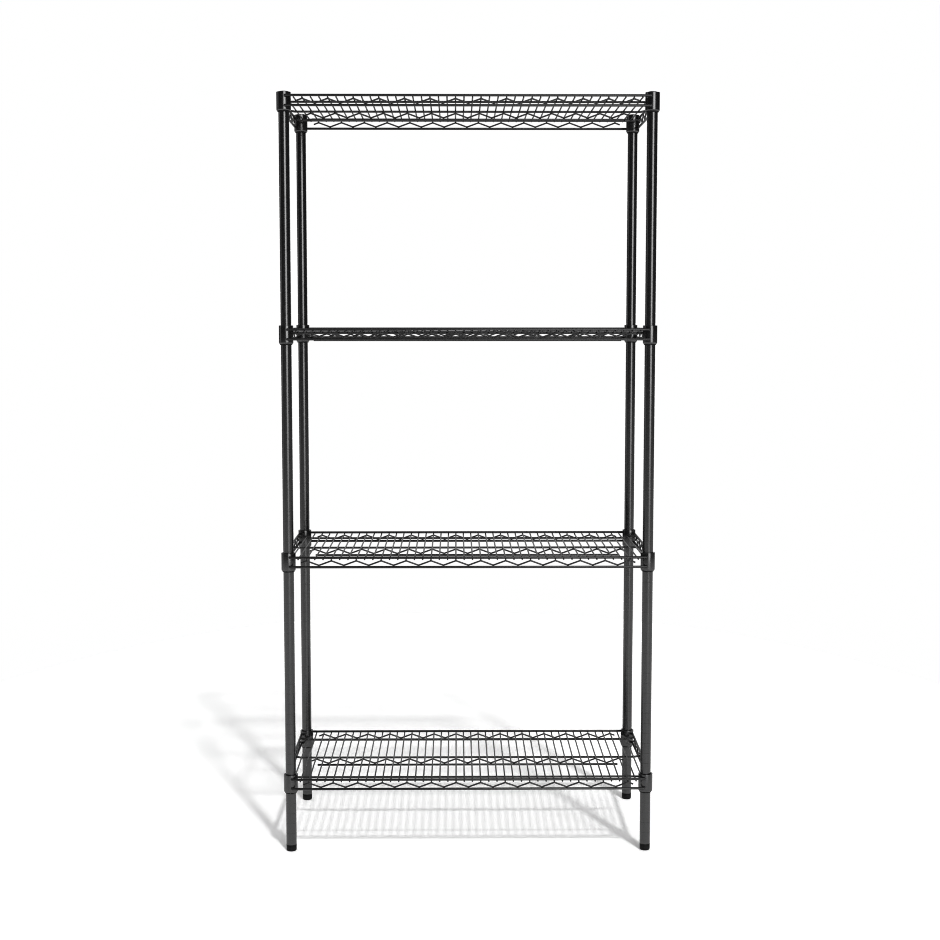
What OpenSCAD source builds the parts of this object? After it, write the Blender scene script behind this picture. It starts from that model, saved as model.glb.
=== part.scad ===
// Four-tier wire shelving rack.
// Grooved tube posts carry split taper sleeves, and each welded wire shelf drops its four corner
// collars over them. Units are millimetres. +X is the rack's right, +Y its back and +Z up, and the
// origin is on the floor below the middle of the rack.

/* [Shelves] */
// Width of a shelf across its corner collars
shelf_w = 909; // [610:1:1210]
// Depth of a shelf across its front and rear rim wires
shelf_d = 466; // [360:1:620]
// Groove on which the lowest shelf hangs, counted from the foot of the post
lowest_groove = 5; // [3:1:10]
// Grooves from one shelf up to the next
groove_step = 22; // [10:1:24]

/* [Posts] */
// Outside diameter of a post
post_d = 25.4; // [25:0.1:25.5]
// Wall of the post tube
post_wall = 1.2; // [1:0.1:1.6]
// Distance from groove to groove
groove_pitch = 25; // [22:0.5:30]
// Depth of a groove
groove_depth = 0.5; // [0.3:0.05:0.7]
// Width of a groove at the surface
groove_w = 2.4; // [2:0.1:3]

/* [Wires] */
// Diameter of the top and bottom rim wires
rim_d = 5.8; // [4:0.1:6]
// Diameter of the deck wires that run from front to back
deck_d = 3.5; // [2.6:0.1:4]
// Distance from deck wire to deck wire
deck_pitch = 20.1; // [16:0.1:26]
// Diameter of the zigzag truss wires
zigzag_d = 3.8; // [2.8:0.1:4]
// Diameter of the long wires below the deck
support_d = 5.2; // [4:0.1:6]
// Depth of a rim, from top wire to bottom wire
rim_drop = 23.3; // [21:0.1:30]
// Distance from the front or rear rim to the support wire behind it
support_inset = 52; // [40:1:70]

/* [Collars and sleeves] */
// Outside diameter of a corner collar
collar_d = 34.6; // [34:0.1:38]
// Height of a corner collar
collar_h = 44; // [40:0.5:50]
// Radial gap between a collar and its sleeve
sleeve_gap = 0.3; // [0.15:0.05:0.35]
// Width of the slit between the two halves of a sleeve
sleeve_slit = 1.2; // [0.6:0.1:3]

/* [Feet] */
// Height of a levelling foot's pad
pad_h = 13.8; // [10:0.1:20]
// Diameter of the pad
pad_d = 25; // [22:0.1:25.4]
// Diameter of the levelling stud
stud_d = 9.52; // [8:0.01:10]
// Length of the levelling stud
stud_l = 46; // [40:1:60]

/* [Hidden] */
$fn = 64;

coat = "#303032";
plastic = "#161617";
zinc = "#9a9c9e";

// How far one straight wire bites into another at a weld
weld = 0.15;
// How far a zigzag bites into the wires above and below it, besides its slightly proud bends
zigzag_weld = 0.03;
// How far a front or rear rim wire bites into the side of a collar that it is welded along
collar_weld = 0.4;
// How far a wire that ends on a collar bites into it
end_weld = 0.1;
// Front and rear rim wires end this far short of the collar's centre line
rim_end_gap = 3;
// Side rim wires run this far outside the centre lines of the posts
side_rim_out = 13.8;
// The outermost deck wires end on the collars, this far inside the centre lines of the posts
end_deck_in = 7.5;
shelf_count = 4;

rim_r = rim_d / 2;
deck_r = deck_d / 2;
zigzag_r = zigzag_d / 2;
support_r = support_d / 2;
post_r = post_d / 2;
post_bore_r = post_r - post_wall;
collar_r = collar_d / 2;
stud_r = stud_d / 2;
pad_r = pad_d / 2;

// Front and rear rim wires lie along the collars, and side rim wires end on them.
rim_y = shelf_d / 2 - rim_r;
post_x = shelf_w / 2 - collar_r;
post_y = rim_y - collar_r - rim_r + collar_weld;
rim_x = post_x + side_rim_out;

// Heights within a shelf are counted from the centre of its top rim wire.
deck_z = -(rim_r + deck_r - weld);
support_z = deck_z - deck_r - support_r + weld;
bottom_rim_z = -rim_drop;
front_peak_z = deck_z - deck_r - zigzag_r + zigzag_weld;
side_peak_z = -(rim_r + zigzag_r - zigzag_weld);
trough_z = bottom_rim_z + rim_r + zigzag_r - zigzag_weld;
centre_peak_z = support_z - support_r - zigzag_r + zigzag_weld;
centre_trough_z = centre_peak_z - (front_peak_z - trough_z);
centre_bottom_z = centre_trough_z - zigzag_r - support_r + zigzag_weld;
support_end_z = -(rim_r + support_r - weld);
// A support wire bends up to the side rim over its last stretch
support_bend = 20;
support_overhang = 1.2;

// Deck wires stand half a pitch either side of the middle, and stop short of the collars.
deck_margin = 5;
deck_room = post_x - collar_r - deck_r - deck_margin;
deck_half_count = floor((deck_room - deck_pitch / 2) / deck_pitch) + 1;
deck_overhang = 1.2;

// A zigzag peaks below every third deck wire, with a trough at the middle of the shelf.
half_wave = 1.5 * deck_pitch;
front_peaks = floor((deck_room / half_wave + 1) / 2);
side_room = post_y - collar_r - 35;
side_peaks = floor((side_room / half_wave + 1) / 2);
front_stub = 13;
side_stub = 21;
// A bend's ball just covers the mitre of the two straight lengths that meet there
bend_cover = 0.04;
zigzag_bend_r = norm([zigzag_r, zigzag_r * (side_peak_z - trough_z) / half_wave]) + bend_cover;
support_bend_r = support_r + bend_cover;
centre_bottom_half = (2 * front_peaks - 1) * half_wave - 2;

// Collar and sleeve heights, counted from the top rim wire like the rest of the shelf
collar_top = 9.5;
collar_bottom = collar_top - collar_h;
collar_bevel = 0.8;
collar_round = 4;
collar_lip_r = collar_r - 1.7;
sleeve_top = 6;
sleeve_bottom = collar_bottom - 2.6;
sleeve_seat_r = post_r + 2.1;
sleeve_top_r = post_r + 0.9;
sleeve_taper = (sleeve_seat_r - sleeve_top_r) / (sleeve_top - collar_bottom);
// The sleeve's inner ridge drops into the groove this far below the top rim wire
ridge_drop = 12;
sleeve_bore_r = post_r + 0.05;
ridge_r = post_r - groove_depth + 0.1;
ridge_half = groove_w / 2 - 0.5;
ridge_bevel = 0.3;

// Posts: the first groove is well above the foot, and the tube ends inside the top collars.
// The pad of each foot leaves a thin seam below the flange of the insert in the tube.
pad_seam = 0.4;
insert_flange_h = 1.7;
post_bottom = pad_h + pad_seam + insert_flange_h;
first_groove_z = 46.8;
groove_floor = 0.8;
post_top_above_rim = 8.2;
function shelf_z(level) =
    first_groove_z + ridge_drop + groove_pitch * (lowest_groove + groove_step * (level - 1));
post_top = shelf_z(shelf_count) + post_top_above_rim;
groove_count = floor((post_top - first_groove_z - 5) / groove_pitch) + 1;

// Caps and foot inserts
cap_plug_l = 16;
cap_plug_r = post_bore_r - 0.1;
cap_rim_h = 1.4;
cap_dome_h = 2.6;
insert_plug_l = 22;
run_gap = 0.06;
pad_socket_floor = 4;
pad_round = 3.5;
stud_end_gap = 0.4;

// Corner signs, in the order front left, front right, rear left, rear right
corners = [[-1, -1], [1, -1], [-1, 1], [1, 1]];

// Points of an arc about [cx, cy], from one angle to another
function arc(cx, cy, rx, ry, from, to, steps) =
    [for (i = [0:steps]) let (a = from + (to - from) * i / steps) [cx + rx * cos(a), cy + ry * sin(a)]];

// Points of a zigzag [along, up]: a stub, then peaks and troughs in turn, then a stub
function zigzag_points(peaks, peak_z, low_z, stub) =
    let (last = (2 * peaks - 1) * half_wave)
    let (stub_z = peak_z - (peak_z - low_z) * stub / half_wave)
    concat(
        [[-last - stub, stub_z]],
        [for (i = [-(2 * peaks - 1):(2 * peaks - 1)])
            [i * half_wave, abs(i) % 2 == 1 ? peak_z : low_z]],
        [[last + stub, stub_z]]
    );

// A straight round wire along X, centred on the origin
module wire_x(length, r) {
    rotate([0, 90, 0])
        cylinder(h = length, r = r, center = true);
}

// A straight round wire along Y, centred on the origin
module wire_y(length, r) {
    rotate([90, 0, 0])
        cylinder(h = length, r = r, center = true);
}

// A bent round wire in the XZ plane through [x, z] points, with a slightly proud ball at each bend
module wire_path(points, r, bend_r) {
    for (i = [0:len(points) - 2]) {
        span = points[i + 1] - points[i];
        tilt = atan2(span[1], span[0]);
        translate([points[i][0], 0, points[i][1]]) {
            rotate([0, 90 - tilt, 0])
                cylinder(h = norm(span), r = r);
            if (i > 0)
                sphere(r = bend_r);
        }
    }
}

// Puts the children at one corner's post
module at_corner(corner) {
    translate([corner[0] * post_x, corner[1] * post_y, 0])
        children();
}

// Puts the children at each of the four posts in turn
module at_each_corner() {
    for (corner = corners)
        at_corner(corner)
            children();
}

// One post: a tube with rolled grooves up its whole height, turned in one piece
module post(corner) {
    half = groove_w / 2;
    floor_half = groove_floor / 2;
    grooves = [for (i = [0:groove_count - 1]) let (z = first_groove_z + i * groove_pitch)
        each [[post_r, z - half], [post_r - groove_depth, z - floor_half],
            [post_r - groove_depth, z + floor_half], [post_r, z + half]]];
    color(coat)
        at_corner(corner)
            rotate_extrude()
                polygon(concat(
                    [[post_bore_r, post_bottom], [post_r, post_bottom]],
                    grooves,
                    [[post_r, post_top], [post_bore_r, post_top]]
                ));
}

// Plastic plug with a low dome that closes the top of a post
module post_cap(corner) {
    dome = arc(0, post_top + cap_rim_h, post_r, cap_dome_h, 0, 90, 8);
    color(plastic)
        at_corner(corner)
            rotate_extrude()
                polygon(concat(
                    [[0, post_top - cap_plug_l], [cap_plug_r, post_top - cap_plug_l],
                        [cap_plug_r, post_top], [post_r, post_top]],
                    dome
                ));
}

// Plug with a flange that closes the bottom of a post and holds the levelling stud
module foot_insert(corner) {
    bottom = post_bottom - insert_flange_h;
    top = post_bottom + insert_plug_l;
    bore_r = stud_r + run_gap;
    color(zinc)
        at_corner(corner)
            rotate_extrude()
                polygon([[bore_r, bottom], [post_r, bottom], [post_r, post_bottom],
                    [cap_plug_r, post_bottom], [cap_plug_r, top], [bore_r, top]]);
}

// Levelling stud, screwed right in
module foot_stud(corner) {
    color(zinc)
        at_corner(corner)
            translate([0, 0, pad_socket_floor + stud_end_gap])
                cylinder(h = stud_l, r = stud_r);
}

// Pad of a levelling foot, with a blind socket for the stud and a rounded lower edge
module foot_pad(corner) {
    edge = arc(pad_r - pad_round, pad_round, pad_round, pad_round, -90, 0, 6);
    socket_r = stud_r + run_gap;
    color(plastic)
        at_corner(corner)
            rotate_extrude()
                polygon(concat(
                    [[0, pad_socket_floor], [0, 0]],
                    edge,
                    [[pad_r, pad_h], [socket_r, pad_h], [socket_r, pad_socket_floor]]
                ));
}

// Outline of a sleeve, [radius, height]: a taper outside, and inside a ridge that fits the groove
function sleeve_outline() = concat(
    [[sleeve_bore_r, sleeve_bottom], [sleeve_seat_r - 1, sleeve_bottom]],
    [[sleeve_seat_r, sleeve_bottom + 1], [sleeve_seat_r, collar_bottom], [sleeve_top_r, sleeve_top]],
    [[sleeve_bore_r, sleeve_top], [sleeve_bore_r, -ridge_drop + ridge_half]],
    [[ridge_r, -ridge_drop + ridge_half - ridge_bevel], [ridge_r, -ridge_drop - ridge_half + ridge_bevel]],
    [[sleeve_bore_r, -ridge_drop - ridge_half]]
);

// The front and rear sleeves of one shelf at its left, side -1, or right, side 1. Each is two halves.
module sleeves(level, side) {
    room = 2 * collar_r;
    for (end = [-1, 1], half = [-1, 1])
        color(plastic)
            translate([side * post_x, end * post_y, shelf_z(level)])
                intersection() {
                    rotate_extrude()
                        polygon(sleeve_outline());
                    translate([half * (room + sleeve_slit) / 2, 0, -room / 2])
                        cube([room, 2 * room, 3 * room], center = true);
                }
}

// Four corner collars of one shelf, each with a taper bore that is wider at the bottom
module corner_collars(level) {
    bore_bottom_r = sleeve_seat_r + sleeve_gap;
    bore_top_r = bore_bottom_r - sleeve_taper * collar_h;
    round_in = arc(collar_lip_r, collar_bottom + collar_round,
        collar_r - collar_lip_r, collar_round, 0, -90, 6);
    color(coat)
        translate([0, 0, shelf_z(level)])
            at_each_corner()
                rotate_extrude()
                    polygon(concat(
                        [[bore_top_r, collar_top], [collar_r - collar_bevel, collar_top],
                            [collar_r, collar_top - collar_bevel]],
                        round_in,
                        [[bore_bottom_r, collar_bottom]]
                    ));
}

// A straight round wire along Y that is cut to fit against the two collars at its ends
module wire_between_collars(x, r) {
    side = sign(x);
    difference() {
        translate([x, 0, 0])
            wire_y(2 * (post_y - r), r);
        for (end = [-1, 1])
            translate([side * post_x, end * post_y, -collar_h])
                cylinder(h = 2 * collar_h, r = collar_r - end_weld);
    }
}

// Four straight rim wires: the long two are welded along the collars, and the short two end on them
module rim_wires(z) {
    for (side = [-1, 1]) {
        translate([0, side * rim_y, z])
            wire_x(2 * (post_x - rim_end_gap), rim_r);
        translate([0, 0, z])
            wire_between_collars(side * rim_x, rim_r);
    }
}

module top_rim(level) {
    color(coat)
        rim_wires(shelf_z(level));
}

module bottom_rim(level) {
    color(coat)
        rim_wires(shelf_z(level) + bottom_rim_z);
}

// Zigzag wires between the top and bottom rim, on all four sides
module rim_zigzags(level) {
    front = zigzag_points(front_peaks, front_peak_z, trough_z, front_stub);
    side = zigzag_points(side_peaks, side_peak_z, trough_z, side_stub);
    color(coat)
        translate([0, 0, shelf_z(level)]) {
            for (y = [-rim_y, rim_y])
                translate([0, y, 0])
                    wire_path(front, zigzag_r, zigzag_bend_r);
            for (x = [-rim_x, rim_x])
                translate([x, 0, 0])
                    rotate([0, 0, 90])
                        wire_path(side, zigzag_r, zigzag_bend_r);
        }
}

// The deck: straight wires from front to back, welded under the top rim, and one more wire at each
// side that ends on the collars
module deck_wires(level) {
    length = 2 * (rim_y + deck_overhang);
    color(coat)
        translate([0, 0, shelf_z(level) + deck_z]) {
            for (i = [-deck_half_count:deck_half_count - 1])
                translate([(i + 0.5) * deck_pitch, 0, 0])
                    wire_y(length, deck_r);
            for (side = [-1, 1])
                wire_between_collars(side * (post_x - end_deck_in), deck_r);
        }
}

// Three long wires under the deck: front, centre and rear. Both ends of each bend up to meet the
// side rims from below, and the centre one is also the top of the centre truss.
module support_wires(level) {
    end_x = rim_x + support_overhang;
    bend_x = end_x - support_bend;
    path = [[-end_x, support_end_z], [-bend_x, support_z], [bend_x, support_z], [end_x, support_end_z]];
    side_y = rim_y - support_inset;
    color(coat)
        for (y = [-side_y, 0, side_y])
            translate([0, y, shelf_z(level)])
                wire_path(path, support_r, support_bend_r);
}

// Zigzag of the truss under the middle of the deck
module centre_zigzag(level) {
    wave = zigzag_points(front_peaks, centre_peak_z, centre_trough_z, front_stub);
    color(coat)
        translate([0, 0, shelf_z(level)])
            wire_path(wave, zigzag_r, zigzag_bend_r);
}

// Bottom wire of that truss, shorter than the shelf
module centre_lower_wire(level) {
    color(coat)
        translate([0, 0, shelf_z(level) + centre_bottom_z])
            wire_x(2 * centre_bottom_half, support_r);
}

post(corners[0]);  // post_front_left
post(corners[1]);  // post_front_right
post(corners[2]);  // post_rear_left
post(corners[3]);  // post_rear_right
post_cap(corners[0]);  // post_cap_front_left
post_cap(corners[1]);  // post_cap_front_right
post_cap(corners[2]);  // post_cap_rear_left
post_cap(corners[3]);  // post_cap_rear_right
foot_insert(corners[0]);  // foot_insert_front_left
foot_insert(corners[1]);  // foot_insert_front_right
foot_insert(corners[2]);  // foot_insert_rear_left
foot_insert(corners[3]);  // foot_insert_rear_right
foot_stud(corners[0]);  // foot_stud_front_left
foot_stud(corners[1]);  // foot_stud_front_right
foot_stud(corners[2]);  // foot_stud_rear_left
foot_stud(corners[3]);  // foot_stud_rear_right
foot_pad(corners[0]);  // foot_pad_front_left
foot_pad(corners[1]);  // foot_pad_front_right
foot_pad(corners[2]);  // foot_pad_rear_left
foot_pad(corners[3]);  // foot_pad_rear_right
sleeves(1, -1);  // shelf1_sleeves_left
sleeves(1, 1);  // shelf1_sleeves_right
corner_collars(1);  // shelf1_corner_collars
top_rim(1);  // shelf1_top_rim
bottom_rim(1);  // shelf1_bottom_rim
rim_zigzags(1);  // shelf1_rim_zigzags
deck_wires(1);  // shelf1_deck_wires
support_wires(1);  // shelf1_support_wires
centre_zigzag(1);  // shelf1_centre_zigzag
centre_lower_wire(1);  // shelf1_centre_lower_wire
sleeves(2, -1);  // shelf2_sleeves_left
sleeves(2, 1);  // shelf2_sleeves_right
corner_collars(2);  // shelf2_corner_collars
top_rim(2);  // shelf2_top_rim
bottom_rim(2);  // shelf2_bottom_rim
rim_zigzags(2);  // shelf2_rim_zigzags
deck_wires(2);  // shelf2_deck_wires
support_wires(2);  // shelf2_support_wires
centre_zigzag(2);  // shelf2_centre_zigzag
centre_lower_wire(2);  // shelf2_centre_lower_wire
sleeves(3, -1);  // shelf3_sleeves_left
sleeves(3, 1);  // shelf3_sleeves_right
corner_collars(3);  // shelf3_corner_collars
top_rim(3);  // shelf3_top_rim
bottom_rim(3);  // shelf3_bottom_rim
rim_zigzags(3);  // shelf3_rim_zigzags
deck_wires(3);  // shelf3_deck_wires
support_wires(3);  // shelf3_support_wires
centre_zigzag(3);  // shelf3_centre_zigzag
centre_lower_wire(3);  // shelf3_centre_lower_wire
sleeves(4, -1);  // shelf4_sleeves_left
sleeves(4, 1);  // shelf4_sleeves_right
corner_collars(4);  // shelf4_corner_collars
top_rim(4);  // shelf4_top_rim
bottom_rim(4);  // shelf4_bottom_rim
rim_zigzags(4);  // shelf4_rim_zigzags
deck_wires(4);  // shelf4_deck_wires
support_wires(4);  // shelf4_support_wires
centre_zigzag(4);  // shelf4_centre_zigzag
centre_lower_wire(4);  // shelf4_centre_lower_wire
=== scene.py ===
"""Looks of the four-tier wire shelving rack, in metres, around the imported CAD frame.

+X is the rack's right, +Y its back and +Z up. Heights within a shelf are counted from the centre
line of its top rim wire, as in the CAD source.
"""

import math

import bmesh
import bpy
import numpy as np
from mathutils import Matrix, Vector


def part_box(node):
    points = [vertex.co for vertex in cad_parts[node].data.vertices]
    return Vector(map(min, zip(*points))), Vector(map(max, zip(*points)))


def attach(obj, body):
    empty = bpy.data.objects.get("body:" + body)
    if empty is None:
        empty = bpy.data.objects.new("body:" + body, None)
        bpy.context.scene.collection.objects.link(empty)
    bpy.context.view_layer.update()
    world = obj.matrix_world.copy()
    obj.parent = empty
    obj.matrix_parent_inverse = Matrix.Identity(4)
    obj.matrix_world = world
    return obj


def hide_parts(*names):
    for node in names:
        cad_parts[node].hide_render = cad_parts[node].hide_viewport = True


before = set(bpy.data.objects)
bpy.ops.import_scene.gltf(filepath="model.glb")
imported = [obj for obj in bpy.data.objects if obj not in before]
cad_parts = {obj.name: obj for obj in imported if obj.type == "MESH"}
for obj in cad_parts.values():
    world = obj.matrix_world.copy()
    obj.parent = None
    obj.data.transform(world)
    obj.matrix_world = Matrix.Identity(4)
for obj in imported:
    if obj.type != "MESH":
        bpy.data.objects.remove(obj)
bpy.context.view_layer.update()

MM = 0.001
TURN = 2 * math.pi
SHELVES = (1, 2, 3, 4)
CORNERS = {
    "front_left": (-1, -1),
    "front_right": (1, -1),
    "rear_left": (-1, 1),
    "rear_right": (1, 1),
}

# ---------------------------------------------------------------- sizes

DECK_R = 1.75 * MM
ZIGZAG_R = 1.9 * MM
SUPPORT_R = 2.6 * MM
DECK_PITCH = 20.1 * MM
DECK_HALF_COUNT = 21
WELD_BITE = 0.15 * MM
ZIGZAG_BITE = 0.03 * MM
END_BITE = 0.1 * MM
END_FILLET = 0.5 * MM
END_DECK_IN = 7.5 * MM
DECK_OVERHANG = 1.2 * MM
HALF_WAVE = 1.5 * DECK_PITCH
FRONT_PEAKS = 7
SIDE_PEAKS = 3
FRONT_STUB = 13 * MM
SIDE_STUB = 21 * MM
ZIGZAG_BEND_R = 5 * MM
SUPPORT_BEND_R = 16 * MM
SUPPORT_BEND = 20 * MM
SUPPORT_OVERHANG = 1.2 * MM
RIM_END_GAP = 3 * MM
COLLAR_BITE = 0.4 * MM
# Rounded end of a wire: (distance in from the end, size), both in wire radii
WIRE_END = ((0.0, 0.70), (0.12, 0.90), (0.34, 1.0))
# Fillet of a wire that ends on a collar: (distance from the collar, share of END_FILLET)
FILLET_SHAPE = ((0.0, 1.0), (0.5 * MM, 0.35), (1.1 * MM, 0.08), (1.8 * MM, 0.0))

# Half sizes of the weld beads along X, Y and Z
RIM_BEAD = (3.0 * MM, 1.1 * MM, 1.5 * MM)
FRONT_ZIGZAG_BEAD = (2.4 * MM, 1.3 * MM, 0.7 * MM)
SIDE_ZIGZAG_BEAD = (1.3 * MM, 2.4 * MM, 0.7 * MM)
DECK_RIM_BEAD = (1.9 * MM, 1.9 * MM, 0.7 * MM)
DECK_SUPPORT_BEAD = (1.8 * MM, 1.8 * MM, 0.7 * MM)
SUPPORT_RIM_BEAD = (2.2 * MM, 2.2 * MM, 0.8 * MM)
RIM_BEAD_IN = 4.2 * MM

GROOVE_PITCH = 25 * MM
GROOVE_DEPTH = 0.3 * MM
GROOVE_HALF = 1.2 * MM
# Section of a groove: (place along the post in half widths, share of the depth)
GROOVE_SHAPE = ((-1.0, 0.0), (-0.9, 1.0), (0.9, 1.0), (1.0, 0.0))
FIRST_GROOVE_Z = 46.8 * MM
POST_WALL = 1.2 * MM
POST_EDGE = 0.4 * MM
PLUG_GAP = 0.1 * MM
CAP_RIM = 1.4 * MM
CAP_DOME = 2.6 * MM
INSERT_FLANGE = 1.7 * MM
STUD_BORE = 4.82 * MM

COLLAR_R = 17.3 * MM
COLLAR_TOP = 9.5 * MM
COLLAR_BOTTOM = -34.5 * MM
COLLAR_ROUND = 4 * MM
COLLAR_LIP = 1.7 * MM
SLEEVE_TOP = 6 * MM
SLEEVE_BOTTOM = -37.1 * MM
SLEEVE_SEAT = 2.1 * MM
SLEEVE_TIP = 0.9 * MM
SLEEVE_GAP = 0.3 * MM
SLEEVE_SLIT = 1.2 * MM
RIDGE_DROP = 12 * MM

THREAD_PITCH = 25.4 / 16 * MM
THREAD_DEPTH = 0.61 * THREAD_PITCH


# ---------------------------------------------------------------- mesh tools


def arc(cx, cz, rx, rz, start, end, steps):
    """Points of an elliptical arc, from one angle in degrees to another."""
    angles = [math.radians(start + (end - start) * i / steps) for i in range(steps + 1)]
    return [(cx + rx * math.cos(a), cz + rz * math.sin(a)) for a in angles]


def lathe(outline, centre, steps=48, start=0.0, span=TURN, loop=True):
    """Turns a (radius, height) outline round a vertical axis.

    loop joins the last point of the outline to its first.
    """
    full = span > TURN - 1e-9
    count = steps if full else steps + 1
    angles = start + span * np.arange(count) / steps
    unit = np.stack([np.cos(angles), np.sin(angles)], axis=1)
    verts, rows = [], []
    for radius, z in outline:
        first = len(verts)
        if radius < 1e-9:
            verts.append((centre[0], centre[1], z))
            rows.append([first] * count)
        else:
            verts.extend((centre[0] + radius * x, centre[1] + radius * y, z) for x, y in unit)
            rows.append(list(range(first, first + count)))
    pairs = list(zip(rows, rows[1:]))
    if loop:
        pairs.append((rows[-1], rows[0]))
    faces = []
    for low, high in pairs:
        for i in range(steps):
            j = (i + 1) % count
            face = list(dict.fromkeys((low[i], low[j], high[j], high[i])))
            if len(face) > 2:
                faces.append(face)
    if not full:
        faces.append([row[0] for row in rows])
        faces.append([row[-1] for row in reversed(rows)])
    return verts, faces


def wire(points, radius, side, sides=16):
    """A round wire along points in a plane square to side, with softly rounded ends."""
    points = np.array(points, float)
    steps = np.diff(points, axis=0)
    steps /= np.linalg.norm(steps, axis=1)[:, None]
    first, last = steps[0], steps[-1]
    middle = steps[:-1] + steps[1:]
    if len(middle):
        middle /= np.linalg.norm(middle, axis=1)[:, None]
    tangents = np.vstack([first, middle, last])
    rings = [(points[0] + first * radius * inset, first, radius * size) for inset, size in WIRE_END]
    rings += [(p, t, radius) for p, t in zip(points[1:-1], tangents[1:-1])]
    rings += [
        (points[-1] - last * radius * inset, last, radius * size)
        for inset, size in reversed(WIRE_END)
    ]
    side = np.array(side, float)
    angles = TURN * np.arange(sides) / sides
    verts, faces = [], []
    for point, tangent, size in rings:
        across = np.cross(tangent, side)
        ring = point + size * (np.outer(np.cos(angles), side) + np.outer(np.sin(angles), across))
        verts.extend(map(tuple, ring))
    for k in range(len(rings) - 1):
        for i in range(sides):
            j = (i + 1) % sides
            low, high = k * sides, (k + 1) * sides
            faces.append((low + i, low + j, high + j, high + i))
    faces.append(tuple(reversed(range(sides))))
    faces.append(tuple(range((len(rings) - 1) * sides, len(rings) * sides)))
    return verts, faces


def wire_between_collars(x, z, radius, post, sides=24):
    """A straight wire along Y, with ends cut to fit two collars and a weld fillet at each."""
    angles = TURN * np.arange(sides) / sides
    reach = COLLAR_R - END_BITE
    rings = []
    for end in (-1, 1):
        for back, fillet in FILLET_SHAPE:
            size = radius + END_FILLET * fillet
            xs = x + size * np.cos(angles)
            off = np.abs(xs - math.copysign(post[0], x))
            ys = post[1] - np.sqrt(np.maximum(reach**2 - off**2, 0)) - back
            rings.append(np.stack([xs, end * ys, z + size * np.sin(angles)], axis=1))
    rings = rings[: len(FILLET_SHAPE)] + rings[: len(FILLET_SHAPE) - 1 : -1]
    verts = [tuple(v) for ring in rings for v in ring]
    faces = []
    for k in range(len(rings) - 1):
        for i in range(sides):
            j = (i + 1) % sides
            faces.append((k * sides + i, k * sides + j, (k + 1) * sides + j, (k + 1) * sides + i))
    faces.append(tuple(reversed(range(sides))))
    faces.append(tuple(range((len(rings) - 1) * sides, len(rings) * sides)))
    return verts, faces


def bent(corners, bend_r, steps=6):
    """Rounds the corners of a path with arcs of one radius."""
    corners = [np.array(p, float) for p in corners]
    out = [corners[0]]
    for before, corner, after in zip(corners, corners[1:], corners[2:]):
        u = (before - corner) / np.linalg.norm(before - corner)
        v = (after - corner) / np.linalg.norm(after - corner)
        half = math.acos(float(np.clip(u @ v, -1, 1))) / 2
        inward = (u + v) / np.linalg.norm(u + v)
        centre = corner + inward * bend_r / math.sin(half)
        start = corner + u * bend_r / math.tan(half) - centre
        end = corner + v * bend_r / math.tan(half) - centre
        swing = math.pi - 2 * half
        for k in range(steps + 1):
            t = k / steps
            weight_start = math.sin((1 - t) * swing) / math.sin(swing)
            weight_end = math.sin(t * swing) / math.sin(swing)
            out.append(centre + start * weight_start + end * weight_end)
    out.append(corners[-1])
    return out


def unit_ball():
    """Vertices and faces of a small ball of radius 1."""
    ball = bmesh.new()
    bmesh.ops.create_icosphere(ball, subdivisions=1, radius=1)
    verts = np.array([v.co for v in ball.verts])
    faces = [[v.index for v in f.verts] for f in ball.faces]
    ball.free()
    return verts, faces


BALL = unit_ball()


def bead(centre, size):
    """A weld bead: a small ellipsoid that fills the corner between two wires."""
    return list(map(tuple, BALL[0] * np.array(size) + np.array(centre))), BALL[1]


def piece(name, shells, body, node, slot, sharp=35, material=None):
    """Makes one mesh object out of closed shells, in place of a CAD node."""
    verts, faces = [], []
    for shell_verts, shell_faces in shells:
        first = len(verts)
        verts.extend(shell_verts)
        faces.extend([first + i for i in face] for face in shell_faces)
    mesh = bpy.data.meshes.new(name)
    mesh.from_pydata(verts, [], faces)
    work = bmesh.new()
    work.from_mesh(mesh)
    bmesh.ops.recalc_face_normals(work, faces=work.faces)
    work.to_mesh(mesh)
    work.free()
    mesh.polygons.foreach_set("use_smooth", [True] * len(mesh.polygons))
    mesh.set_sharp_from_angle(angle=math.radians(sharp))
    mesh.materials.append(material or MATERIALS[slot])
    made = bpy.data.objects.new(name, mesh)
    bpy.context.scene.collection.objects.link(made)
    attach(made, body)
    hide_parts(node)
    return made


# ---------------------------------------------------------------- materials


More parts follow.
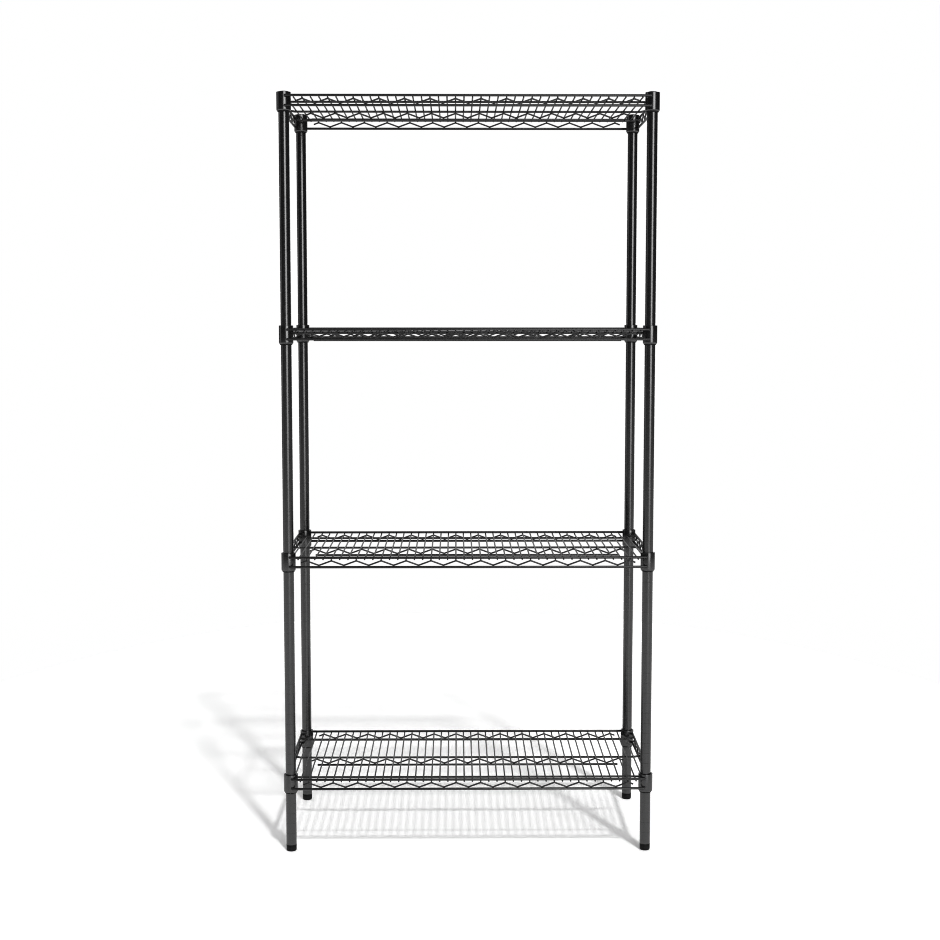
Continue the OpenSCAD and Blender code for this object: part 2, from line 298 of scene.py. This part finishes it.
class Shader:
    """A node material with a few shorthands."""

    def __init__(self, name):
        self.material = bpy.data.materials.new(name)
        self.material.use_nodes = True
        self.tree = self.material.node_tree
        self.bsdf = self.tree.nodes["Principled BSDF"]
        self.coords = self.tree.nodes.new("ShaderNodeTexCoord").outputs["Object"]

    def link(self, source, target):
        self.tree.links.new(source, target)

    def noise(self, scale, detail=2.0, rough=0.5, stretch=None):
        node = self.tree.nodes.new("ShaderNodeTexNoise")
        node.inputs["Scale"].default_value = scale
        node.inputs["Detail"].default_value = detail
        node.inputs["Roughness"].default_value = rough
        source = self.coords
        if stretch:
            mapping = self.tree.nodes.new("ShaderNodeMapping")
            mapping.inputs["Scale"].default_value = stretch
            self.link(self.coords, mapping.inputs["Vector"])
            source = mapping.outputs["Vector"]
        self.link(source, node.inputs["Vector"])
        return node.outputs["Fac"]

    def ramp(self, source, low, high, start=0.35, end=0.65):
        node = self.tree.nodes.new("ShaderNodeMapRange")
        node.inputs["From Min"].default_value = start
        node.inputs["From Max"].default_value = end
        node.inputs["To Min"].default_value = low
        node.inputs["To Max"].default_value = high
        self.link(source, node.inputs["Value"])
        return node.outputs["Result"]

    def colours(self, source, dark, light, start=0.35, end=0.65):
        node = self.tree.nodes.new("ShaderNodeValToRGB")
        node.color_ramp.elements[0].position = start
        node.color_ramp.elements[1].position = end
        node.color_ramp.elements[0].color = (*dark, 1)
        node.color_ramp.elements[1].color = (*light, 1)
        self.link(source, node.inputs["Fac"])
        self.link(node.outputs["Color"], self.bsdf.inputs["Base Color"])

    def bump(self, source, distance, strength, below=None):
        node = self.tree.nodes.new("ShaderNodeBump")
        node.inputs["Distance"].default_value = distance
        node.inputs["Strength"].default_value = strength
        self.link(source, node.inputs["Height"])
        if below:
            self.link(below, node.inputs["Normal"])
        return node.outputs["Normal"]

    def surface(self, normal):
        self.link(normal, self.bsdf.inputs["Normal"])


def powder_coat(name, shine, smooth, rough):
    """Black powder coat over steel, with a fine orange peel and a slight cloudiness."""
    s = Shader(name)
    s.colours(s.noise(45, 4), (0.012, 0.012, 0.0125), (0.017, 0.017, 0.0175))
    s.bsdf.inputs["Specular IOR Level"].default_value = shine
    s.link(s.ramp(s.noise(220, 3), smooth, rough), s.bsdf.inputs["Roughness"])
    flow = s.bump(s.noise(110, 2), 0.00003, 0.15)
    s.surface(s.bump(s.noise(620, 2), 0.000008, 0.25, flow))
    s.bsdf.inputs["IOR"].default_value = 1.65
    return s.material


def black_plastic():
    """Moulded black plastic with a fine grain."""
    s = Shader("black_plastic")
    s.colours(s.noise(60, 3), (0.009, 0.009, 0.0095), (0.014, 0.014, 0.0145))
    s.bsdf.inputs["Specular IOR Level"].default_value = 0.3
    s.link(s.ramp(s.noise(300, 3), 0.42, 0.55), s.bsdf.inputs["Roughness"])
    s.surface(s.bump(s.noise(1600, 2), 0.00003, 0.4))
    return s.material


def zinc_plate():
    """Bright zinc plating with faint turning marks round the axis."""
    s = Shader("zinc_plated_steel")
    s.colours(s.noise(90, 4), (0.50, 0.51, 0.53), (0.68, 0.69, 0.71))
    s.bsdf.inputs["Metallic"].default_value = 1.0
    s.link(s.ramp(s.noise(160, 3), 0.26, 0.42), s.bsdf.inputs["Roughness"])
    s.surface(s.bump(s.noise(900, 2, stretch=(0.15, 0.15, 4)), 0.00002, 0.5))
    return s.material


MATERIALS = {
    "black_powder_coat": powder_coat("black_powder_coat", 1.0, 0.20, 0.25),
    "black_plastic": black_plastic(),
    "zinc_plated_steel": zinc_plate(),
}
WIRE_COAT = powder_coat("black_powder_coat_on_wire", 0.55, 0.30, 0.38)


# ---------------------------------------------------------------- posts and feet


def middle(node):
    """Centre of a CAD node's box."""
    low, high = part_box(node)
    return (low + high) / 2


def post_outline(node):
    """(radius, height) outline of one post's tube, with its rolled grooves."""
    low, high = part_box(node)
    radius = (high.x - low.x) / 2
    bore = radius - POST_WALL
    outline = [(bore, low.z), (radius - POST_EDGE, low.z), (radius, low.z + POST_EDGE)]
    z = FIRST_GROOVE_Z
    while z < high.z - 2 * GROOVE_HALF:
        outline += [
            (radius - GROOVE_DEPTH * depth, z + GROOVE_HALF * along)
            for along, depth in GROOVE_SHAPE
        ]
        z += GROOVE_PITCH
    outline += [(radius, high.z - POST_EDGE), (radius - POST_EDGE, high.z), (bore, high.z)]
    return outline


def cap_outline(node, post_radius):
    """Plug and low dome that close the top of a post."""
    low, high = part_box(node)
    plug = post_radius - POST_WALL - PLUG_GAP
    post_top = high.z - CAP_RIM - CAP_DOME
    outline = [(0, low.z), (plug - 0.8 * MM, low.z), (plug, low.z + 0.8 * MM)]
    for rib in range(3):
        z = low.z + (3.5 + 3.5 * rib) * MM
        outline += [(plug, z), (plug - 0.5 * MM, z + 0.5 * MM), (plug, z + 1.0 * MM)]
    outline += [(plug, post_top), (post_radius - 0.3 * MM, post_top)]
    outline += [(post_radius, post_top + 0.3 * MM), (post_radius, post_top + CAP_RIM)]
    dome_points = arc(0, post_top + CAP_RIM, post_radius, CAP_DOME, 0, 90, 12)
    outline += dome_points[1:-1] + [(0, high.z)]
    return outline


def insert_outline(node):
    """Flanged plug in the foot of a post, with a threaded bore."""
    low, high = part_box(node)
    radius = (high.x - low.x) / 2
    plug = radius - POST_WALL - PLUG_GAP
    edge = 0.35 * MM
    return [
        (STUD_BORE + edge, low.z),
        (radius - edge, low.z),
        (radius, low.z + edge),
        (radius, low.z + INSERT_FLANGE - edge),
        (radius - edge, low.z + INSERT_FLANGE),
        (plug, low.z + INSERT_FLANGE),
        (plug, high.z - 1 * MM),
        (plug - 1 * MM, high.z),
        (STUD_BORE + edge, high.z),
        (STUD_BORE, high.z - edge),
        (STUD_BORE, low.z + edge),
    ]


def pad_outline(node):
    """Moulded pad of a levelling foot, with a rounded lower edge and a socket for the stud."""
    low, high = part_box(node)
    radius = (high.x - low.x) / 2
    floor = low.z + 4 * MM
    outline = [(0, floor), (0, low.z + 0.5 * MM), (radius - 5 * MM, low.z + 0.5 * MM)]
    outline += [(radius - 4.6 * MM, low.z)]
    outline += arc(radius - 3.5 * MM, low.z + 3.5 * MM, 3.5 * MM, 3.5 * MM, -90, 0, 8)
    outline += arc(radius - 0.8 * MM, high.z - 0.8 * MM, 0.8 * MM, 0.8 * MM, 0, 90, 4)
    outline += [(STUD_BORE + 0.4 * MM, high.z), (STUD_BORE, high.z - 0.4 * MM)]
    outline += [(STUD_BORE, floor)]
    return outline


def stud_shell(node, centre, sides=24, rows_a_turn=6):
    """A threaded stud, as a helix of one thread on a rod."""
    low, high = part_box(node)
    crest = (high.x - low.x) / 2
    rows = int((high.z - low.z) / THREAD_PITCH * rows_a_turn)
    verts, faces = [], []
    for k in range(rows + 1):
        z = low.z + (high.z - low.z) * k / rows
        near_end = min(z - low.z, high.z - z) / (1.2 * THREAD_PITCH)
        fade = min(1.0, near_end)
        for i in range(sides):
            turn = ((z - low.z) / THREAD_PITCH - i / sides) % 1.0
            height = min(1.0, max(0.0, 1.25 * (1 - abs(2 * turn - 1)) - 0.1))
            radius = crest - THREAD_DEPTH * (1 - height * fade)
            angle = TURN * i / sides
            verts.append(
                (centre.x + radius * math.cos(angle), centre.y + radius * math.sin(angle), z)
            )
    for k in range(rows):
        for i in range(sides):
            j = (i + 1) % sides
            faces.append((k * sides + i, k * sides + j, (k + 1) * sides + j, (k + 1) * sides + i))
    faces.append(tuple(reversed(range(sides))))
    faces.append(tuple(range(rows * sides, (rows + 1) * sides)))
    return verts, faces


for corner in CORNERS:
    post = "post_" + corner
    centre = middle(post)
    low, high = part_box(post)
    post_radius = (high.x - low.x) / 2
    piece(
        "tube_" + corner,
        [lathe(post_outline(post), centre, 40)],
        "posts",
        post,
        "black_powder_coat",
        sharp=40,
    )
    cap = "post_cap_" + corner
    piece(
        "cap_" + corner,
        [lathe(cap_outline(cap, post_radius), centre, 48, loop=False)],
        "posts",
        cap,
        "black_plastic",
    )
    insert = "foot_insert_" + corner
    piece(
        "insert_" + corner,
        [lathe(insert_outline(insert), centre, 48)],
        "posts",
        insert,
        "black_plastic",
    )
    pad = "foot_pad_" + corner
    piece(
        "pad_" + corner,
        [lathe(pad_outline(pad), centre, 48, loop=False)],
        pad + "_body",
        pad,
        "black_plastic",
    )
    stud = "foot_stud_" + corner
    piece(
        "stud_" + corner,
        [stud_shell(stud, centre)],
        stud + "_body",
        stud,
        "zinc_plated_steel",
        sharp=60,
    )


# ---------------------------------------------------------------- shelves


def zigzag_path(peaks, peak_z, trough_z, stub):
    """(along, up) points of a zigzag wire whose rounded bends reach peak_z and trough_z."""
    slope = math.atan2(peak_z - trough_z, HALF_WAVE)
    lift = ZIGZAG_BEND_R * (1 / math.cos(slope) - 1)
    top, low = peak_z + lift, trough_z - lift
    last = 2 * peaks - 1
    stub_z = top - (top - low) * stub / HALF_WAVE
    points = [(-last * HALF_WAVE - stub, stub_z)]
    points += [(i * HALF_WAVE, top if i % 2 else low) for i in range(-last, last + 1)]
    points += [(last * HALF_WAVE + stub, stub_z)]
    return bent(points, ZIGZAG_BEND_R)


def along_x(path, y, z):
    return [(a, y, z + up) for a, up in path]


def along_y(path, x, z):
    return [(x, a, z + up) for a, up in path]


def sleeve_outline(post_radius):
    """(radius, height) outline of a split sleeve: a taper outside and a ridge inside."""
    bore = post_radius + 0.05 * MM
    seat = post_radius + SLEEVE_SEAT
    tip = post_radius + SLEEVE_TIP
    ridge = post_radius - GROOVE_DEPTH + 0.1 * MM
    return [
        (bore, SLEEVE_BOTTOM),
        (seat - 1.0 * MM, SLEEVE_BOTTOM),
        (seat - 0.3 * MM, SLEEVE_BOTTOM + 0.3 * MM),
        (seat, SLEEVE_BOTTOM + 1.0 * MM),
        (seat, COLLAR_BOTTOM),
        (tip, SLEEVE_TOP - 0.3 * MM),
        (tip - 0.2 * MM, SLEEVE_TOP),
        (bore + 0.1 * MM, SLEEVE_TOP),
        (bore, SLEEVE_TOP - 0.2 * MM),
        (bore, -RIDGE_DROP + 0.7 * MM),
        (ridge, -RIDGE_DROP + 0.4 * MM),
        (ridge, -RIDGE_DROP - 0.4 * MM),
        (bore, -RIDGE_DROP - 0.7 * MM),
    ]


def collar_outline(post_radius):
    """(radius, height) outline of a collar, rounded in at its foot, with a taper bore."""
    bore_bottom = post_radius + SLEEVE_SEAT + SLEEVE_GAP
    taper = (SLEEVE_SEAT - SLEEVE_TIP) / (SLEEVE_TOP - COLLAR_BOTTOM)
    bore_top = bore_bottom - taper * (COLLAR_TOP - COLLAR_BOTTOM)
    outline = [(bore_top, COLLAR_TOP - 0.3 * MM), (bore_top + 0.3 * MM, COLLAR_TOP)]
    outline += arc(COLLAR_R - 0.8 * MM, COLLAR_TOP - 0.8 * MM, 0.8 * MM, 0.8 * MM, 90, 0, 5)
    outline += arc(
        COLLAR_R - COLLAR_LIP, COLLAR_BOTTOM + COLLAR_ROUND, COLLAR_LIP, COLLAR_ROUND, 0, -90, 9
    )
    outline += [(bore_bottom + 0.2 * MM, COLLAR_BOTTOM), (bore_bottom, COLLAR_BOTTOM + 0.2 * MM)]
    return outline


def lifted(outline, z):
    return [(r, h + z) for r, h in outline]


class Shelf:
    """Places of one shelf's wires, read from its CAD nodes."""

    def __init__(self, number):
        self.name = f"shelf{number}"
        low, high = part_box(self.name + "_top_rim")
        self.rim_r = (high.z - low.z) / 2
        self.top_z = (high.z + low.z) / 2
        self.rim_x = high.x - self.rim_r
        self.rim_y = high.y - self.rim_r
        self.bottom_z = middle(self.name + "_bottom_rim").z
        post_low, post_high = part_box("post_front_right")
        self.post_r = (post_high.x - post_low.x) / 2
        self.post_x = middle("post_rear_right").x
        self.post_y = middle("post_rear_right").y

        self.deck_z = self.top_z - (self.rim_r + DECK_R - WELD_BITE)
        self.support_z = self.deck_z - DECK_R - SUPPORT_R + WELD_BITE
        self.centre_y = middle(self.name + "_support_wires").y
        self.inset_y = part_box(self.name + "_support_wires")[1].y - SUPPORT_R
        self.support_ys = (-self.inset_y, self.centre_y, self.inset_y)
        self.front_peak = self.deck_z - DECK_R - ZIGZAG_R + ZIGZAG_BITE
        self.side_peak = self.top_z - (self.rim_r + ZIGZAG_R - ZIGZAG_BITE)
        self.trough = self.bottom_z + self.rim_r + ZIGZAG_R - ZIGZAG_BITE

    def wires(self, name, shells, node, sharp=50):
        """Makes one piece of this shelf's wires."""
        part, cad_node = f"{self.name}_{name}", f"{self.name}_{node}"
        piece(part, shells, self.name, cad_node, "black_powder_coat", sharp, WIRE_COAT)


def half_sleeves(shelf):
    """Two halves of a split sleeve on each post, which stay on the posts."""
    opening = math.asin(SLEEVE_SLIT / 2 / (shelf.post_r + SLEEVE_SEAT))
    outline = lifted(sleeve_outline(shelf.post_r), shelf.top_z)
    for name, side_x in (("left", -1), ("right", 1)):
        shells = []
        for side_y in (-1, 1):
            centre = (side_x * shelf.post_x, side_y * shelf.post_y)
            for start in (-math.pi / 2 + opening, math.pi / 2 + opening):
                shells.append(lathe(outline, centre, 24, start, math.pi - 2 * opening))
        piece(
            f"{shelf.name}_half_sleeves_{name}",
            shells,
            "posts",
            f"{shelf.name}_sleeves_{name}",
            "black_plastic",
        )


def collars(shelf):
    """The four corner collars."""
    outline = lifted(collar_outline(shelf.post_r), shelf.top_z)
    piece(
        shelf.name + "_collars",
        [lathe(outline, (sx * shelf.post_x, sy * shelf.post_y), 64) for sx, sy in CORNERS.values()],
        shelf.name,
        shelf.name + "_corner_collars",
        "black_powder_coat",
    )


def rim_wires(shelf):
    """Rim wires: the long two are welded along the collars, and the short two end on them."""
    end_x = shelf.post_x - RIM_END_GAP
    bead_y = shelf.rim_y - shelf.rim_r + COLLAR_BITE
    for level, z in (("top", shelf.top_z), ("bottom", shelf.bottom_z)):
        shells = []
        for side in (-1, 1):
            y, x = side * shelf.rim_y, side * shelf.rim_x
            shells.append(wire([(-end_x, y, z), (end_x, y, z)], shelf.rim_r, (0, 0, 1), 24))
            shells.append(wire_between_collars(x, z, shelf.rim_r, (shelf.post_x, shelf.post_y)))
        for sx, sy in CORNERS.values():
            shells.append(bead((sx * (shelf.post_x - RIM_BEAD_IN), sy * bead_y, z), RIM_BEAD))
        shelf.wires(f"{level}_rim_wires", shells, f"{level}_rim", sharp=35)


def zigzag_contacts(peaks, peak_z, trough_z):
    """(along, height) of the places where a zigzag touches the wires above and below it."""
    return [
        (i * HALF_WAVE, peak_z + ZIGZAG_R if i % 2 else trough_z - ZIGZAG_R)
        for i in range(-(2 * peaks - 1), 2 * peaks)
    ]


def side_zigzags(shelf):
    """Zigzags of the four sides, with beads at their peaks and troughs."""
    front_path = zigzag_path(FRONT_PEAKS, shelf.front_peak, shelf.trough, FRONT_STUB)
    side_path = zigzag_path(SIDE_PEAKS, shelf.side_peak, shelf.trough, SIDE_STUB)
    shells = []
    for side in (-1, 1):
        y, x = side * shelf.rim_y, side * shelf.rim_x
        shells.append(wire(along_x(front_path, y, 0), ZIGZAG_R, (0, 1, 0)))
        shells.append(wire(along_y(side_path, x, 0), ZIGZAG_R, (1, 0, 0)))
        for along, z in zigzag_contacts(FRONT_PEAKS, shelf.front_peak, shelf.trough):
            shells.append(bead((along, y, z), FRONT_ZIGZAG_BEAD))
        for along, z in zigzag_contacts(SIDE_PEAKS, shelf.side_peak, shelf.trough):
            shells.append(bead((x, along, z), SIDE_ZIGZAG_BEAD))
    shelf.wires("zigzags", shells, "rim_zigzags")


def deck(shelf):
    """Deck wires, welded under the top rim and over the support wires."""
    shells = []
    for i in range(-DECK_HALF_COUNT, DECK_HALF_COUNT):
        x = (i + 0.5) * DECK_PITCH
        ends = [(x, side * (shelf.rim_y + DECK_OVERHANG), shelf.deck_z) for side in (-1, 1)]
        shells.append(wire(ends, DECK_R, (0, 0, 1)))
        for side in (-1, 1):
            shells.append(bead((x, side * shelf.rim_y, shelf.deck_z + DECK_R), DECK_RIM_BEAD))
        for y in shelf.support_ys:
            shells.append(bead((x, y, shelf.deck_z - DECK_R), DECK_SUPPORT_BEAD))
    for side in (-1, 1):
        x = side * (shelf.post_x - END_DECK_IN)
        post = (shelf.post_x, shelf.post_y)
        shells.append(wire_between_collars(x, shelf.deck_z, DECK_R, post, 16))
    shelf.wires("deck", shells, "deck_wires")


def supports(shelf):
    """Support wires, bent up to the side rims."""
    end_x = shelf.rim_x + SUPPORT_OVERHANG
    end_z = shelf.top_z - (shelf.rim_r + SUPPORT_R - WELD_BITE)
    flat_x = end_x - SUPPORT_BEND
    path = bent(
        [(-end_x, end_z), (-flat_x, shelf.support_z), (flat_x, shelf.support_z), (end_x, end_z)],
        SUPPORT_BEND_R,
    )
    shells = []
    for y in shelf.support_ys:
        shells.append(wire(along_x(path, y, 0), SUPPORT_R, (0, 1, 0), 20))
        for side in (-1, 1):
            shells.append(bead((side * shelf.rim_x, y, end_z + SUPPORT_R), SUPPORT_RIM_BEAD))
    shelf.wires("supports", shells, "support_wires")


def truss(shelf):
    """Zigzag and lower wire under the middle of the deck."""
    peak = shelf.support_z - SUPPORT_R - ZIGZAG_R + ZIGZAG_BITE
    trough = peak - (shelf.front_peak - shelf.trough)
    y = shelf.centre_y
    path = zigzag_path(FRONT_PEAKS, peak, trough, FRONT_STUB)
    shells = [wire(along_x(path, y, 0), ZIGZAG_R, (0, 1, 0))]
    for along, z in zigzag_contacts(FRONT_PEAKS, peak, trough):
        shells.append(bead((along, y, z), FRONT_ZIGZAG_BEAD))
    shelf.wires("truss_zigzag", shells, "centre_zigzag")

    low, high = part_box(shelf.name + "_centre_lower_wire")
    lower = middle(shelf.name + "_centre_lower_wire")
    ends = [(low.x, lower.y, lower.z), (high.x, lower.y, lower.z)]
    shelf.wires("truss_lower", [wire(ends, SUPPORT_R, (0, 0, 1), 20)], "centre_lower_wire")


for number in SHELVES:
    shelf = Shelf(number)
    half_sleeves(shelf)
    collars(shelf)
    rim_wires(shelf)
    side_zigzags(shelf)
    deck(shelf)
    supports(shelf)
    truss(shelf)


# ---------------------------------------------------------------- studio

CAMERA_LENS = 60.6
CAMERA_SENSOR = 36
CAMERA_PLACE = (-0.0305, -4.0251, 1.3036)
CAMERA_TILT = math.radians(84.626)
CAMERA_TURN = math.radians(-0.5204)
# Directions of the lights round the rack, in radians from the front to the right
KEY_TURN = 0.365
LEFT_TURN = -1.70
# Strengths of what the rack sees round it
BACKDROP = 1.0
FLOOR_IN_FRONT = 1.3
FLOOR_BEHIND = 0.8
LEFT_GLOW = 0.9
TALL_LIGHT = 4.8
CEILING = 0.45
DARKEST = 0.02

camera_data = bpy.data.cameras.new("camera")
camera_data.lens = CAMERA_LENS
camera_data.sensor_width = CAMERA_SENSOR
camera = bpy.data.objects.new("camera", camera_data)
camera.location = CAMERA_PLACE
camera.rotation_euler = (CAMERA_TILT, 0, CAMERA_TURN)
bpy.context.scene.collection.objects.link(camera)
bpy.context.scene.camera = camera


def ellipse_floor(half_x, half_y, steps=96):
    """A pale floor that glows with painted fill light, a little stronger towards the back."""
    mesh = bpy.data.meshes.new("studio_floor")
    ring = [
        (half_x * math.cos(TURN * i / steps), half_y * math.sin(TURN * i / steps), 0)
        for i in range(steps)
    ]
    mesh.from_pydata(ring, [], [list(range(steps))])
    floor = bpy.data.objects.new("studio_floor", mesh)
    bpy.context.scene.collection.objects.link(floor)
    paint = bpy.data.materials.new("floor_with_painted_glow")
    paint.use_nodes = True
    bsdf = paint.node_tree.nodes["Principled BSDF"]
    bsdf.inputs["Base Color"].default_value = (0.9, 0.9, 0.9, 1)
    bsdf.inputs["Roughness"].default_value = 0.9
    bsdf.inputs["Specular IOR Level"].default_value = 0.0
    # Painted fill light: the floor glows, from 0.18 at the front to 0.24 at the back.
    bsdf.inputs["Emission Color"].default_value = (1, 1, 1, 1)
    coords = paint.node_tree.nodes.new("ShaderNodeTexCoord")
    split = paint.node_tree.nodes.new("ShaderNodeSeparateXYZ")
    lift = paint.node_tree.nodes.new("ShaderNodeMapRange")
    for name, value in (("From Min", -1.2), ("From Max", 2.5), ("To Min", 0.18), ("To Max", 0.24)):
        lift.inputs[name].default_value = value
    paint.node_tree.links.new(coords.outputs["Object"], split.inputs[0])
    paint.node_tree.links.new(split.outputs["Y"], lift.inputs["Value"])
    paint.node_tree.links.new(lift.outputs["Result"], bsdf.inputs["Emission Strength"])
    mesh.materials.append(paint)


def sun(name, toward, width, power):
    """A distant light in the direction toward, width degrees across."""
    data = bpy.data.lights.new(name, "SUN")
    data.angle = math.radians(width)
    data.energy = power
    lamp = bpy.data.objects.new(name, data)
    lamp.rotation_euler = Vector(toward).to_track_quat("Z", "Y").to_euler()
    lamp.visible_glossy = False
    bpy.context.scene.collection.objects.link(lamp)


def studio_world():
    """White to the camera. To the part: backdrop, bright floor, ceiling and a tall soft light."""
    world = bpy.data.worlds.new("studio")
    bpy.context.scene.world = world
    world.use_nodes = True
    tree = world.node_tree
    tree.nodes.clear()

    def math_node(kind, first, second=None):
        node = tree.nodes.new("ShaderNodeMath")
        node.operation = kind
        for socket, value in zip(node.inputs, (first, second)):
            if value is None:
                continue
            if isinstance(value, (int, float)):
                socket.default_value = value
            else:
                tree.links.new(value, socket)
        return node.outputs[0]

    def smooth(source, start, end, low, high):
        node = tree.nodes.new("ShaderNodeMapRange")
        node.interpolation_type = "SMOOTHSTEP"
        node.inputs["From Min"].default_value = start
        node.inputs["From Max"].default_value = end
        node.inputs["To Min"].default_value = low
        node.inputs["To Max"].default_value = high
        tree.links.new(source, node.inputs["Value"])
        return node.outputs["Result"]

    coords = tree.nodes.new("ShaderNodeTexCoord")
    split = tree.nodes.new("ShaderNodeSeparateXYZ")
    tree.links.new(coords.outputs["Generated"], split.inputs[0])
    x, y, z = split.outputs
    turn = math_node("ARCTAN2", x, math_node("MULTIPLY", y, -1.0))
    off_front = math_node("ABSOLUTE", turn)
    off_left = math_node("ABSOLUTE", math_node("SUBTRACT", turn, LEFT_TURN))
    off_key = math_node("ABSOLUTE", math_node("SUBTRACT", turn, KEY_TURN))

    backdrop = math_node(
        "MULTIPLY", smooth(off_front, 2.2, 2.6, 0, BACKDROP), smooth(z, 0.35, 0.75, 1.0, 0.15)
    )
    floor_ahead = math_node(
        "MULTIPLY",
        smooth(off_front, 1.6, 2.3, FLOOR_IN_FRONT, FLOOR_BEHIND),
        smooth(z, -0.20, -0.02, 1.0, 0.0),
    )
    left_glow = math_node(
        "MULTIPLY", smooth(off_left, 0.10, 0.35, LEFT_GLOW, 0.0), smooth(z, 0.4, 0.7, 1.0, 0.0)
    )
    tall_light = math_node(
        "MULTIPLY", smooth(off_key, 0.22, 0.34, TALL_LIGHT, 0.0), smooth(z, -0.14, -0.02, 0.0, 1.0)
    )
    tall_light = math_node("MULTIPLY", tall_light, smooth(z, 0.75, 0.87, 1.0, 0.0))
    seen = math_node("MAXIMUM", backdrop, math_node("MAXIMUM", floor_ahead, left_glow))
    seen = math_node("MAXIMUM", seen, math_node("MAXIMUM", tall_light, DARKEST))
    seen = math_node("MAXIMUM", seen, smooth(z, 0.3, 0.6, 0.0, CEILING))

    lit = tree.nodes.new("ShaderNodeBackground")
    lit.inputs["Color"].default_value = (1, 1, 1, 1)
    tree.links.new(seen, lit.inputs["Strength"])
    white = tree.nodes.new("ShaderNodeBackground")
    white.inputs["Color"].default_value = (1, 1, 1, 1)
    path = tree.nodes.new("ShaderNodeLightPath")
    mix = tree.nodes.new("ShaderNodeMixShader")
    tree.links.new(path.outputs["Is Camera Ray"], mix.inputs[0])
    tree.links.new(lit.outputs[0], mix.inputs[1])
    tree.links.new(white.outputs[0], mix.inputs[2])
    out = tree.nodes.new("ShaderNodeOutputWorld")
    tree.links.new(mix.outputs[0], out.inputs[0])


ellipse_floor(2.0, 3.0)
sun("key", (0.267, -0.69, 1.0), 3.2, 1.4)
studio_world()
bpy.context.scene.view_settings.view_transform = "Standard"
bpy.context.scene.view_settings.look = "None"
bpy.context.scene.view_settings.gamma = 0.7
bpy.context.scene.cycles.filter_width = 1.0
